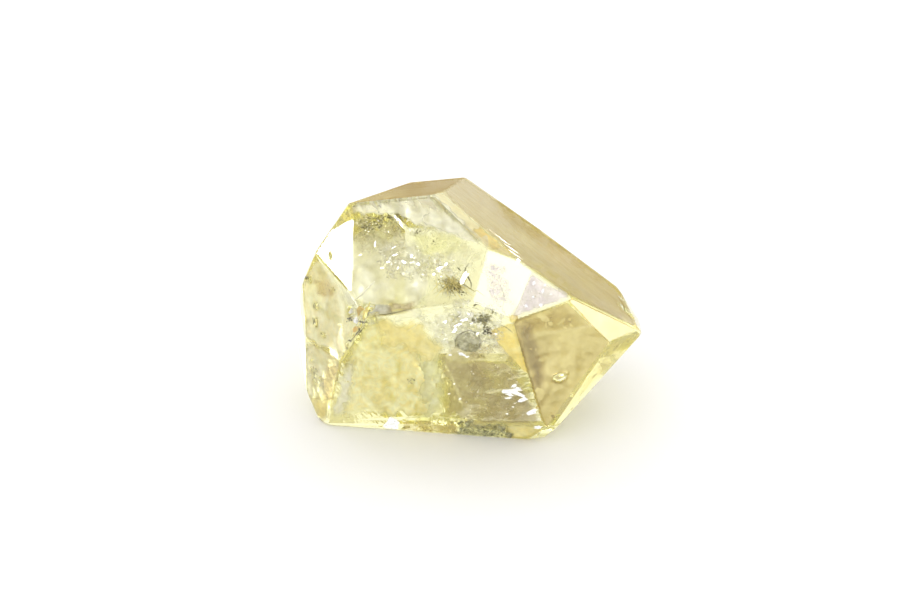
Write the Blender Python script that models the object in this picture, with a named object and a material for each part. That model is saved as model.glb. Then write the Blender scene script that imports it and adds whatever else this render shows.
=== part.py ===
"""Citrine crystal point, lying on one of its long faces.

The stone is one solid piece of clear yellow quartz: a short six-sided prism with a six-sided point
at its +X end, ground and polished all over, with a few chips and pits left in the surface. It is
made as a stone cutter would make it. A rough block is cut by one plane after another, the edges are
softened, and the marks are scooped out at the end.
"""

import math
import random

import bmesh
import bpy
from mathutils import Matrix, Vector

MM = 0.001

# Driving dimensions, in millimetres and degrees.
BLOCK_SIDE = 80.0  # the rough block, well outside every face
HEART_HEIGHT = 14.0  # the heart: the point inside the stone from which each face is measured
EDGE_RADIUS = 0.5  # the polish rounds each edge and corner this much
CORNER_RADIUS = 0.9
EDGE_STEPS = 2  # flats across each rounded edge
SAME_FACE_ANGLE = 2.0  # two faces closer in direction than this share no edge worth rounding
SEED = 7
MARK_UNEVENNESS = 0.12  # how far a mark's surface strays from an even scoop, as a share of its size
FINE_MARK = 0.9  # marks shorter than this need only a coarse scoop

# Each face: its name, the bearing its outside faces (anticlockwise from +X, seen from above), how
# steeply it faces up (a level face that looks up is 90), and how far it lies from the heart.
FACES = (
    ("resting face", 0, -90, HEART_HEIGHT),
    # the six-sided prism, whose axis runs along X and dips towards the left end
    ("top prism face", 132, 70, 13.0),
    ("front prism face", -99, 44, 16.7),
    ("lower front prism face", -80, -20, 14.9),
    ("back prism face", 90, 15, 14.9),
    ("lower back prism face", 82, -43, 15.0),
    # the point, at the +X end
    ("broad point face", 36, 53, 9.6),
    ("front point face", -51, 36, 18.8),
    ("lower front point face", -42, -10, 18.0),
    ("back point face", 69, 29, 14.7),
    ("lower back point face", 39, -26, 19.9),
    ("under point face", 4, -40, 18.2),
    # small faces between the large ones
    ("ridge bevel", 10, 66, 13.1),
    ("cheek face", -27, 3, 19.8),
    ("rim face", -26, -19, 19.3),
    ("tip face", 31, 36, 14.3),
    ("foot bevel", -79, -28, 15.7),
    ("foot corner", -52, -42, 19.2),
    # the left end, where the crystal was broken from its rock and ground round
    ("left shoulder", -111, 40, 17.8),
    ("upper left face", -124, 5, 18.8),
    ("lower left face", -125, -5, 19.4),
    ("far left face", -148, -1, 20.0),
    ("back left face", 174, 25, 15.4),
    ("lower back left face", 157, -36, 15.3),
)

# Each mark: the face it is in, how far across and up that face from the foot of its normal, its
# length, width and depth, and how far its length is turned from level.
MARKS = (
    # shell-shaped chips around the tip
    ("broad point face", -7.6, -15.3, 4.2, 2.2, 0.30, 20),
    ("broad point face", -2.4, -16.7, 1.5, 0.9, 0.40, 70),
    ("tip face", -6.2, -3.2, 2.6, 1.2, 0.25, 10),
    # a row of nicks down the edge at the left end
    ("lower front prism face", -11.4, 4.6, 1.2, 0.6, 0.35, 60),
    ("lower front prism face", -10.5, 6.3, 1.0, 0.5, 0.30, 65),
    ("lower front prism face", -9.5, 8.1, 1.4, 0.7, 0.40, 50),
    ("upper left face", 2.6, 2.0, 2.0, 1.1, 0.45, 40),
    ("front prism face", -2.7, -9.4, 1.6, 0.9, 0.35, 20),
    # a long shallow bruise on the ridge between the two front prism faces
    ("front prism face", 2.4, -9.7, 5.0, 1.3, 0.28, 8),
    # a slit in the left shoulder
    ("left shoulder", -6.9, -4.2, 1.3, 0.5, 0.40, -50),
    # pits in the left end, natural hollows that the grinding stopped short of
    ("upper left face", -6.2, 2.7, 1.3, 0.7, 0.40, 10),
    ("upper left face", -4.4, 0.0, 1.1, 0.4, 0.30, 65),
    ("upper left face", -4.4, -2.0, 1.2, 0.5, 0.30, -70),
    ("upper left face", -2.6, -3.0, 0.7, 0.5, 0.20, 20),
    ("upper left face", -1.2, 3.4, 0.8, 0.5, 0.20, -20),
    ("lower left face", -6.1, -2.8, 0.9, 0.6, 0.25, 0),
    ("lower left face", -5.1, -4.2, 0.8, 0.5, 0.25, 30),
    ("lower left face", -5.2, -5.4, 0.6, 0.5, 0.20, 0),
    ("lower left face", -4.2, -5.2, 0.7, 0.5, 0.25, -30),
    ("lower left face", -3.6, -6.2, 0.8, 0.6, 0.25, 15),
    ("lower left face", -4.6, -7.2, 0.7, 0.5, 0.20, 45),
    ("lower left face", -3.1, -7.4, 0.6, 0.5, 0.20, 0),
    # a shell-shaped bruise in the lower face of the point
    ("lower front point face", 3.1, -1.5, 2.2, 1.3, 0.22, -10),
    # marks on the sides away from the front
    ("back prism face", -5.0, 2.5, 2.6, 1.2, 0.30, 25),
    ("back prism face", 4.2, -3.0, 1.0, 0.6, 0.25, -15),
    ("lower back left face", 2.0, 3.0, 1.8, 1.0, 0.30, -35),
    ("back left face", -2.5, 3.5, 1.0, 0.6, 0.25, 15),
    ("top prism face", -4.0, 2.0, 0.9, 0.6, 0.22, 70),
)

HEART = Vector((0.0, 0.0, HEART_HEIGHT))
PLACE = {name: (bearing, rise, reach) for name, bearing, rise, reach in FACES}


def clear_scene():
    for item in list(bpy.data.objects):
        bpy.data.objects.remove(item, do_unlink=True)


def facing(name):
    """The unit vector that points straight out of a face."""
    bearing, rise, _ = PLACE[name]
    level = math.cos(math.radians(rise))
    return Vector(
        (
            level * math.cos(math.radians(bearing)),
            level * math.sin(math.radians(bearing)),
            math.sin(math.radians(rise)),
        )
    )


def foot(name):
    """The point of a face's plane that is nearest to the heart."""
    return HEART + facing(name) * PLACE[name][2]


def face_frame(name, across, up, turn):
    """A frame on a face: X along the mark's length, Z straight out of the stone."""
    out = facing(name)
    right = Vector((0.0, 0.0, 1.0)).cross(out).normalized()
    upward = out.cross(right)
    turned = Matrix.Rotation(math.radians(turn), 3, out)
    axes = Matrix((turned @ right, turned @ upward, out)).transposed().to_4x4()
    return Matrix.Translation(foot(name) + across * right + up * upward) @ axes


def cut(mesh, point, out):
    """Takes off all that lies outside one plane and closes the cut with one flat face."""
    everything = mesh.verts[:] + mesh.edges[:] + mesh.faces[:]
    result = bmesh.ops.bisect_plane(
        mesh, geom=everything, plane_co=point, plane_no=out, clear_outer=True
    )
    rim = [item for item in result["geom_cut"] if isinstance(item, bmesh.types.BMEdge)]
    if rim:
        bmesh.ops.contextual_create(mesh, geom=rim)


def edge_rounding(edge):
    """The planes that touch a rod laid inside an edge, so that cutting by them rounds it."""
    first, second = (face.normal.copy() for face in edge.link_faces)
    if first.angle(second) < math.radians(SAME_FACE_ANGLE):
        return []
    inward = (first + second) / (1.0 + first.dot(second))
    rod = edge.verts[0].co - EDGE_RADIUS * inward
    planes = []
    for step in range(EDGE_STEPS):
        out = first.slerp(second, (step + 0.5) / EDGE_STEPS)
        planes.append((rod + EDGE_RADIUS * out, out))
    return planes


def corner_rounding(vertex):
    """The plane that touches a ball laid inside a corner, where its first three faces meet."""
    normals = [face.normal.copy() for face in vertex.link_faces][:3]
    inward = Matrix(normals).inverted_safe() @ Vector((1.0, 1.0, 1.0))
    ball = vertex.co - CORNER_RADIUS * inward
    out = sum(normals, Vector()).normalized()
    return ball + CORNER_RADIUS * out, out


def cut_stone():
    """The rough block, cut by every face in turn, then round its edges and its corners."""
    mesh = bmesh.new()
    bmesh.ops.create_cube(mesh, size=BLOCK_SIDE)
    bmesh.ops.translate(mesh, verts=mesh.verts, vec=HEART)
    for name in PLACE:
        cut(mesh, foot(name), facing(name))
    bmesh.ops.recalc_face_normals(mesh, faces=mesh.faces)
    mesh.normal_update()
    polish = [corner_rounding(vertex) for vertex in mesh.verts]
    for edge in mesh.edges:
        polish += edge_rounding(edge)
    for point, out in polish:
        cut(mesh, point, out)
    bmesh.ops.recalc_face_normals(mesh, faces=mesh.faces)
    return mesh


def scoop(mesh, dice, name, across, up, length, width, depth, turn):
    """Adds one uneven scoop to the cutter, half in the stone and half in the air."""
    steps = 1 if length < FINE_MARK else 2
    ball = bmesh.ops.create_icosphere(mesh, subdivisions=steps, radius=1.0)["verts"]
    for vertex in ball:
        vertex.co *= 1.0 + dice.uniform(-MARK_UNEVENNESS, MARK_UNEVENNESS)
    size = Matrix.Diagonal((length / 2, width / 2, depth, 1.0))
    bmesh.ops.transform(mesh, matrix=face_frame(name, across, up, turn) @ size, verts=ball)


def cut_marks():
    mesh = bmesh.new()
    dice = random.Random(SEED)
    for mark in MARKS:
        scoop(mesh, dice, *mark)
    return mesh


def settle(mesh, others):
    """Moves the meshes so that the stone's box is centred over the origin, and scales them to metres."""
    middles = []
    for axis in (0, 1):
        values = [vertex.co[axis] for vertex in mesh.verts]
        middles.append((min(values) + max(values)) / 2)
    place = Matrix.Scale(MM, 4) @ Matrix.Translation((-middles[0], -middles[1], 0.0))
    for item in (mesh, *others):
        bmesh.ops.transform(item, matrix=place, verts=item.verts)


def add_object(name, mesh):
    data = bpy.data.meshes.new(name)
    mesh.to_mesh(data)
    mesh.free()
    item = bpy.data.objects.new(name, data)
    bpy.context.scene.collection.objects.link(item)
    return item


def citrine():
    """Clear quartz coloured pale yellow."""
    material = bpy.data.materials.new("citrine")
    material.use_nodes = True
    shader = material.node_tree.nodes["Principled BSDF"]
    shader.inputs["Base Color"].default_value = (0.89, 0.80, 0.42, 1.0)
    shader.inputs["Metallic"].default_value = 0.0
    shader.inputs["Roughness"].default_value = 0.04
    shader.inputs["IOR"].default_value = 1.544
    shader.inputs["Transmission Weight"].default_value = 1.0
    return material


def build():
    clear_scene()
    stone_mesh = cut_stone()
    marks_mesh = cut_marks()
    settle(stone_mesh, (marks_mesh,))
    stone = add_object("citrine_point", stone_mesh)
    stone.data.materials.append(citrine())
    marks = add_object("marks", marks_mesh)
    marks.hide_render = True
    marks.display_type = "WIRE"
    chip = stone.modifiers.new("chips and pits", "BOOLEAN")
    chip.operation = "DIFFERENCE"
    chip.solver = "EXACT"
    chip.use_self = True
    chip.object = marks


build()
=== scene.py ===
# %% [markdown]
# # Citrine crystal point
# A short, polished quartz crystal, clear and pale yellow, that lies on one of its long faces.
# The shape comes ready from the imported frame. This script gives it what the eye sees: the clear
# stone itself, and what nature left inside it. There are healed cracks that look like veils and
# feathers, dark grains, needles of iron oxide, a round grey inclusion and a few bright flakes.
# Start by loading the frame.

import math
import random

import bmesh
import bpy
from mathutils import Matrix, Vector, noise
from mathutils.bvhtree import BVHTree


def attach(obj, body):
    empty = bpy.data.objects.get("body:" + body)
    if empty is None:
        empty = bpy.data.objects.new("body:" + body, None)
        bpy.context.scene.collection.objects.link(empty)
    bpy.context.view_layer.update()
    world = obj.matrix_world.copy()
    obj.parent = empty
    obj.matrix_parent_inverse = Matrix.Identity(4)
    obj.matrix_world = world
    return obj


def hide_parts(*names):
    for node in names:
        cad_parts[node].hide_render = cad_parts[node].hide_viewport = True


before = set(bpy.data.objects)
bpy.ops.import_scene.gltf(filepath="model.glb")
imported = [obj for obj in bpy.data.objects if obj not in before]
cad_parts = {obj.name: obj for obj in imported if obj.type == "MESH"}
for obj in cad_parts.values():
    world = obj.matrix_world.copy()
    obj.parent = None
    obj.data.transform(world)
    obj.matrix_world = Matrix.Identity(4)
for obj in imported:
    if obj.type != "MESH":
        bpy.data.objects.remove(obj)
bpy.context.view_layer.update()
MM = 0.001

# %% [markdown]
# ## Small helpers
# Colours are written as the hex values that a paint program shows. Blender's shaders work in linear
# light, so one function converts them. Another adds a node, sets it up and links it in one call,
# which keeps the materials below short enough to read.

# %% Colours and nodes
def linear(hex_colour, alpha=1.0):
    """An sRGB hex colour as the linear RGBA that a shader socket takes."""
    channels = []
    for start in (1, 3, 5):
        value = int(hex_colour[start:start + 2], 16) / 255
        channels.append(value / 12.92 if value <= 0.04045 else ((value + 0.055) / 1.055) ** 2.4)
    return (*channels, alpha)


def add(tree, kind, links=None, settings=None, **values):
    """Adds a node. Settings are its own properties. Values are sockets set by name, with _ for a
    space. Links join another node's output, or its first, to an input given by name or number."""
    node = tree.nodes.new(kind)
    for key, value in (settings or {}).items():
        setattr(node, key, value)
    for key, value in values.items():
        node.inputs[key.replace("_", " ")].default_value = value
    for key, source in (links or {}).items():
        output = source if isinstance(source, bpy.types.NodeSocket) else source.outputs[0]
        tree.links.new(output, node.inputs[key])
    return node


def new_material(name):
    """An empty material, and its node tree."""
    material = bpy.data.materials.new(name)
    material.use_nodes = True
    material.node_tree.nodes.clear()
    return material, material.node_tree


def add_object(name, mesh, material=None):
    """Puts a mesh in the scene as an object at the origin."""
    item = bpy.data.objects.new(name, mesh)
    bpy.context.scene.collection.objects.link(item)
    if material:
        mesh.materials.append(material)
    return item


# %% [markdown]
# ## The camera
# The camera looks down at the stone from the front, a little to its right, through a long lens,
# which keeps the facets' proportions as the eye knows them. A place around the stone is easiest to
# give as a map maker would: its bearing, anticlockwise from +X seen from above, and its rise above
# the table.

# %% Camera
HEART = Vector((0.0, 0.0, 14.0)) * MM  # a point well inside the stone, which the places start from
TARGET = Vector((-3.0, 0.2, 12.85)) * MM
CAMERA_BEARING, CAMERA_RISE, CAMERA_DISTANCE = -70.0, 25.0, 380.0 * MM
LENS, SENSOR = 126.16, 36.0  # mm
FRAME_WIDTH, FRAME_HEIGHT = 900, 601  # the view, in pixels


def toward(bearing, rise):
    """The unit vector that points to a bearing and a rise, both in degrees."""
    level = math.cos(math.radians(rise))
    turn = math.radians(bearing)
    return Vector((level * math.cos(turn), level * math.sin(turn), math.sin(math.radians(rise))))


camera_back = toward(CAMERA_BEARING, CAMERA_RISE)
camera_data = bpy.data.cameras.new("camera")
camera_data.lens = LENS
camera_data.sensor_width = SENSOR
camera_data.clip_start = 0.01
camera = bpy.data.objects.new("camera", camera_data)
camera.location = TARGET + camera_back * CAMERA_DISTANCE
camera.rotation_euler = camera_back.to_track_quat("Z", "Y").to_euler()
bpy.context.scene.collection.objects.link(camera)
bpy.context.scene.camera = camera
print("camera at, mm:", [round(value / MM) for value in camera.location])

# %% [markdown]
# ## The room and the table
# A clear stone has hardly any look of its own: it shows its surroundings, bent and turned over. So
# its light is planned as for a glass in a shop window. A few strong lamps would leave it dark with
# hard sparks, so the room is a soft even white, and the table is a plain pale one. The render keeps
# its bright tones as they are, with no film curve. Light crosses many faces before it leaves the
# stone, so the number of bounces is high.

# %% Room and table
scene = bpy.context.scene
scene.view_settings.view_transform = "Standard"
scene.view_settings.exposure = 0.24
scene.cycles.max_bounces = 48
scene.cycles.transmission_bounces = 48
scene.cycles.glossy_bounces = 48
scene.cycles.diffuse_bounces = 6
scene.cycles.transparent_max_bounces = 64

world = bpy.data.worlds.new("soft white room")
world.use_nodes = True
world.node_tree.nodes["Background"].inputs["Color"].default_value = linear("#FFFFFF")
world.node_tree.nodes["Background"].inputs["Strength"].default_value = 1.0
scene.world = world
print("light may bounce", scene.cycles.max_bounces, "times")

# %% The table
TABLE_HALF = 1.5  # m, far past what the camera sees
TABLE_GAP = 0.05 * MM  # the table lies this far under the stone, so that their faces never fight
table_paint, tree = new_material("matt white lacquer")
surface = add(tree, "ShaderNodeBsdfPrincipled", Base_Color=linear("#FEFDFC"), Roughness=0.65)
add(tree, "ShaderNodeOutputMaterial", {"Surface": surface})
shape = bmesh.new()
bmesh.ops.create_grid(shape, x_segments=1, y_segments=1, size=TABLE_HALF)
table_mesh = bpy.data.meshes.new("table")
shape.to_mesh(table_mesh)
shape.free()
table = add_object("table", table_mesh, table_paint)
table.location.z = -TABLE_GAP
print("table:", 2 * TABLE_HALF, "m square")

# %% [markdown]
# ## Light panels and cards
# Two soft boxes stand where the camera sees them mirrored in a face of the stone: that is what makes
# one facet flash white while its neighbour stays clear. A card's place is given by the middle of
# one edge, because that edge is what shows in a facet. From there the card reaches up or down, at
# right angles to the edge. No card lights anything matt or casts a shadow, so each can be moved to
# suit its facet, and only what mirrors it will change.

# %% Cards
def card(name, edge_at, roll, width, reach, colour, strength, distance=350.0):
    """A glowing card that faces the stone. One edge, `width` mm long, has its middle at a bearing
    and a rise, and is turned `roll` degrees from level. The card reaches `reach` mm to the left of
    that edge, or to its right where reach is negative."""
    outward = toward(*edge_at)
    level = Vector((0, 0, 1)).cross(outward).normalized()
    upward = outward.cross(level)
    along = level * math.cos(math.radians(roll)) + upward * math.sin(math.radians(roll))
    across = outward.cross(along)
    middle = HEART + outward * distance * MM
    half = along * width / 2 * MM
    corners = [middle - half, middle + half, middle + half + across * reach * MM,
               middle - half + across * reach * MM]
    mesh = bpy.data.meshes.new(name)
    mesh.from_pydata(corners, [], [(0, 1, 2, 3)])
    material, tree = new_material(name)
    glow = add(tree, "ShaderNodeEmission", Color=linear(colour), Strength=strength)
    add(tree, "ShaderNodeOutputMaterial", {"Surface": glow})
    item = add_object(name, mesh, material)
    item.visible_camera = False
    item.visible_diffuse = False
    item.visible_shadow = False
    print(name + ":", width, "by", abs(reach), "mm")
    return item


RIGHT_BOX_EDGE, RIGHT_BOX_ROLL = (-27.1, 41.94), 38.2  # the edge where white turns to lilac
card("right_soft_box", RIGHT_BOX_EDGE, RIGHT_BOX_ROLL, 220, 170, "#FFFFFF", 7.0)
card("lilac_soft_box_rim", RIGHT_BOX_EDGE, RIGHT_BOX_ROLL, 220, -45, "#D2CAF5", 3.0)
card("left_soft_box", (-160.84, 36.05), 82.6, 50, -30, "#FFFFFF", 22.0)
card("grey_flag", (-142.0, 49.3), 0.0, 190, 120, "#BCB1A0", 1.0)
card("warm_side_of_the_room", (-140.0, 5.0), 0.0, 300, 170, "#EADFCC", 1.0, distance=390.0)
tan_card = card("tan_card", (98.0, -17.0), 0.0, 100, 26, "#A88C5E", 1.0, distance=45.0)
tan_card.visible_transmission = False  # only mirrored, never seen through the stone

# %% [markdown]
# ## The clear stone
# The solid from the frame is loose triangles. A copy of it is merged, so that each facet is smooth
# and the narrow rounded strips along its edges blend one facet into the next, as polish does. A
# broad facet has to stay perfectly flat, because even a slight bend in its shading shows as a warped
# mirror. So the edges round every broad facet are kept sharp, and only the strips are shaded round.

# %% Stone mesh
MERGE = 0.002 * MM
BROAD_FACET = 4.0 * MM ** 2  # a face smaller than this belongs to an edge or a chip
FLAT_ENOUGH = math.radians(0.6)  # a broad facet meets its neighbour crisply past this angle

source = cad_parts["citrine_point"]
shape = bmesh.new()
shape.from_mesh(source.data)
bmesh.ops.remove_doubles(shape, verts=shape.verts, dist=MERGE)
bmesh.ops.dissolve_limit(shape, angle_limit=math.radians(0.4), verts=shape.verts, edges=shape.edges)
broad_normals = [face.normal.copy() for face in shape.faces if face.calc_area() > BROAD_FACET]
SAME_PLANE = math.cos(math.radians(0.4))


def of_broad_facet(face):
    """Whether a face is, or is a part of, one of the broad facets."""
    return any(face.normal.dot(normal) > SAME_PLANE for normal in broad_normals)


for edge in shape.edges:
    beside_broad = any(of_broad_facet(face) for face in edge.link_faces)
    edge.smooth = not (beside_broad and edge.calc_face_angle() > FLAT_ENOUGH)
bmesh.ops.triangulate(shape, faces=[face for face in shape.faces if len(face.verts) > 4])
for face in shape.faces:
    face.smooth = True
stone_tree = BVHTree.FromBMesh(shape)
stone_mesh = bpy.data.meshes.new("citrine_stone")
shape.to_mesh(stone_mesh)
shape.free()
stone = add_object("citrine_stone", stone_mesh)
even = stone.modifiers.new("even facets", "WEIGHTED_NORMAL")
even.mode = "FACE_AREA"
even.weight = 100
even.keep_sharp = True
print("stone:", len(stone_mesh.vertices), "points,", len(stone_mesh.polygons), "faces")

# %% [markdown]
# ## Worn polish
# A polished stone isn't equally bright all over: its edges and chips are worn, and the back of this
# one is taken to be less finely polished. That could be painted in a texture, but the mesh already
# has a face wherever the finish changes. So each face carries numbers, as attributes, and the
# material reads them. `dull` is its roughness. `etched` says how much of the crystal's own hilly
# growth is left in it: most at the back of the left end, a little on the back of the prism, and none
# in front. `lined` marks the two upper faces, which kept their fine growth lines.

# %% Worn polish
BRIGHT, WORN = 0.0, 0.12
ETCHED_SIDE = toward(165, -10)
HALF_POLISHED_SIDE = toward(86, -15)
ROOF_SIDE, TOP_SIDE = toward(36, 53), toward(132, 70)  # the two upper faces

dull = stone_mesh.attributes.new("dull", "FLOAT", "FACE")
etched = stone_mesh.attributes.new("etched", "FLOAT", "FACE")
lined = stone_mesh.attributes.new("lined", "FLOAT", "FACE")
for number, facet in enumerate(stone_mesh.polygons):
    dull.data[number].value = BRIGHT if of_broad_facet(facet) else WORN
    if facet.normal.dot(ETCHED_SIDE) > 0.75:
        etched.data[number].value = 0.7
    elif facet.normal.dot(HALF_POLISHED_SIDE) > 0.75:
        etched.data[number].value = 0.12
    if max(facet.normal.dot(ROOF_SIDE), facet.normal.dot(TOP_SIDE)) > 0.995:
        lined.data[number].value = 1.0
print("mirror bright:", sum(row.value == BRIGHT for row in dull.data), "of", len(dull.data), "faces")

# %% [markdown]
# ## Citrine
# Citrine is clear quartz, coloured by a trace of iron. Its yellow isn't on the surface but all the
# way through, so it is no colour of the surface shader, which is plain clear transmission with the
# bending power of quartz. The yellow is a volume that absorbs a little of the light for each
# millimetre, so thick parts look deeper in colour than thin ones, by themselves. Three bumps
# shape the skin: the shallow waves of a hand-held polish, the hills of unpolished growth, and the
# growth lines. A line is a noise that is drawn out along one direction and squeezed across it.

# %% Citrine skin
CITRINE_IOR = 1.544
WAVE_WIDTH, WAVE_DEPTH = 5.0, 0.006  # mm, the shallow waves of a hand-held polish
HILL_WIDTH, HILL_DEPTH = 3.6, 0.30  # mm, the hills that growth left
LINE_WIDTH, LINE_LENGTH, LINE_DEPTH = 0.4, 9.0, 0.04  # mm, the growth lines of the upper faces
LINE_DIRECTION = toward(-27, -30)  # they run down the crystal, to its point
citrine, tree = new_material("polished citrine")
place = add(tree, "ShaderNodeTexCoord").outputs["Object"]
waves = add(tree, "ShaderNodeTexNoise", {"Vector": place}, Scale=1 / (WAVE_WIDTH * MM), Detail=1.0)
polish = add(tree, "ShaderNodeBump", {"Height": waves}, Strength=1.0, Distance=WAVE_DEPTH * MM)
hills = add(tree, "ShaderNodeTexNoise", {"Vector": place}, Scale=1 / (HILL_WIDTH * MM), Detail=3.0,
            Roughness=0.5)
growth = add(tree, "ShaderNodeAttribute", settings={"attribute_name": "etched"})
etch = add(tree, "ShaderNodeBump", {"Height": hills, "Strength": growth.outputs["Fac"], "Normal": polish},
           Distance=HILL_DEPTH * MM)
lines = add(tree, "ShaderNodeAttribute", settings={"attribute_name": "lined"})
along_lines = add(tree, "ShaderNodeVectorMath", {0: place}, {"operation": "DOT_PRODUCT"})
along_lines.inputs[1].default_value = LINE_DIRECTION
across_lines = add(tree, "ShaderNodeVectorMath", {0: place}, {"operation": "DOT_PRODUCT"})
across_lines.inputs[1].default_value = LINE_DIRECTION.cross(ROOF_SIDE).normalized()
drawn = add(tree, "ShaderNodeCombineXYZ")
for axis, distance, length in ((0, along_lines, LINE_LENGTH), (1, across_lines, LINE_WIDTH)):
    shrunk = add(tree, "ShaderNodeMath", {0: distance.outputs["Value"]}, {"operation": "DIVIDE"})
    shrunk.inputs[1].default_value = length * MM
    tree.links.new(shrunk.outputs[0], drawn.inputs[axis])
grooves = add(tree, "ShaderNodeTexNoise", {"Vector": drawn}, Scale=1.0, Detail=3.0, Roughness=0.6)
etch = add(tree, "ShaderNodeBump", {"Height": grooves, "Strength": lines.outputs["Fac"], "Normal": etch},
           Distance=LINE_DEPTH * MM)
print("growth lines:", LINE_WIDTH, "mm apart")

# %% Citrine body
YELLOW, YELLOW_PER_METRE = "#FEFDD0", 40.0
rough = add(tree, "ShaderNodeAttribute", settings={"attribute_name": "dull"})
surface = add(tree, "ShaderNodeBsdfPrincipled", {"Roughness": rough.outputs["Fac"], "Normal": etch},
              Base_Color=(1, 1, 1, 1), IOR=CITRINE_IOR, Transmission_Weight=1.0)
body = add(tree, "ShaderNodeVolumeAbsorption", Color=linear(YELLOW), Density=YELLOW_PER_METRE)
add(tree, "ShaderNodeOutputMaterial", {"Surface": surface, "Volume": body})
stone_mesh.materials.append(citrine)
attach(stone, "root")
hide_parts("citrine_point")
print("stone dressed:", citrine.name)

# %% [markdown]
# ## Where something inside is seen
# What lies inside a clear stone isn't seen where it is, because the light bends at the face that it
# leaves through. Placed by plain coordinates, a speck would have to be moved again and again until
# it showed in the right spot. So a place inside is given by the column and row where it shows in
# the camera's view, and by how deep it lies. The line of sight is followed to the stone, bent there
# by Snell's law, and followed on.

# %% A place inside the stone
PIXELS_PER_UNIT = LENS / SENSOR * FRAME_WIDTH  # how far in the view a slope of one reaches
camera_right = Vector((0, 0, 1)).cross(camera_back).normalized()
camera_up = camera_back.cross(camera_right)


def sight(column, row):
    """The line of sight through a point of the view."""
    across = (column - FRAME_WIDTH / 2) / PIXELS_PER_UNIT
    upward = (FRAME_HEIGHT / 2 - row) / PIXELS_PER_UNIT
    return (camera_right * across + camera_up * upward - camera_back).normalized()


def bend(ray, normal, ratio):
    """The direction of a ray after it crosses a surface, by Snell's law."""
    facing = -ray.dot(normal)
    inside = 1 - ratio ** 2 * (1 - facing ** 2)
    return (ray * ratio + normal * (ratio * facing - math.sqrt(inside))).normalized()


def sight_inside(column, row):
    """Where the line of sight through a point of the view enters the stone, and its way on."""
    ray = sight(column, row)
    hit, normal, _, _ = stone_tree.ray_cast(camera.location, ray)
    return hit, bend(ray, normal, 1 / CITRINE_IOR)


def seen_at(column, row, depth):
    """The point that shows at a column and row of the view, `depth` mm behind the face there."""
    hit, way = sight_inside(column, row)
    return hit + way * depth * MM


below = bend(-camera_back, Vector((0, 0, 1)), 1 / CITRINE_IOR)
print("below a level face the view goes down at", round(math.degrees(math.asin(-below.z))), "degrees")

# %% [markdown]
# ## Keeping things inside
# A film that is laid near a facet can poke out where the stone's edge curves away, and would then
# show as a flap in the air. Each finished piece is therefore tucked in: a point that lies too near
# the skin is pulled straight back under it. The pieces also need to be tied to the stone's body, so
# that they move with it, and both jobs are done by one function that every inclusion goes through.

# %% Inside the skin
SKIN = 0.12 * MM  # nothing inside comes nearer to the surface than this


def on_stone(column, row):
    """Whether the stone shows at a point of the view."""
    return stone_tree.ray_cast(camera.location, sight(column, row))[0] is not None


def tuck_in(mesh):
    """Pulls each point of a mesh that is too near the stone's skin, or past it, back inside."""
    for vertex in mesh.vertices:
        skin, outward, _, _ = stone_tree.find_nearest(vertex.co)
        if (vertex.co - skin).dot(outward) > -SKIN:
            vertex.co = skin - outward * SKIN


def keep(item):
    """What every finished inclusion needs: it lies inside, and moves with the stone."""
    tuck_in(item.data)
    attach(item, "root")
    return item


# %% [markdown]
# ## Veils
# While a crystal grows it cracks, and the cracks heal. Each leaves a thin, slightly wavy sheet of
# tiny hollows, which shows as a milky or smoky veil. It could be a cloud in a volume, but that
# renders slowly and looks like fog, not like a sheet. So a veil is an open grid of small faces,
# cut to an outline, folded by a noise, and set a given depth behind one facet. How solid it is at
# each point is stored in the attribute `fade`, which gives it a soft and ragged rim.

# %% Veils
def inside_by(column, row, outline):
    """How far, in pixels, a point of the view is inside an outline. Outside it is negative."""
    nearest, inside = math.inf, False
    for (x1, y1), (x2, y2) in zip(outline, outline[1:] + outline[:1]):
        along = ((column - x1) * (x2 - x1) + (row - y1) * (y2 - y1)) / ((x2 - x1) ** 2 + (y2 - y1) ** 2)
        along = max(0.0, min(1.0, along))
        nearest = min(nearest, math.hypot(column - x1 - (x2 - x1) * along, row - y1 - (y2 - y1) * along))
        if (y1 > row) != (y2 > row) and column < x1 + (row - y1) / (y2 - y1) * (x2 - x1):
            inside = not inside
    return nearest if inside else -nearest


FAR_CLEARANCE = 0.3  # mm, what a veil keeps from the far side of the stone
SHALLOWEST = 0.1  # mm behind its facet


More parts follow.
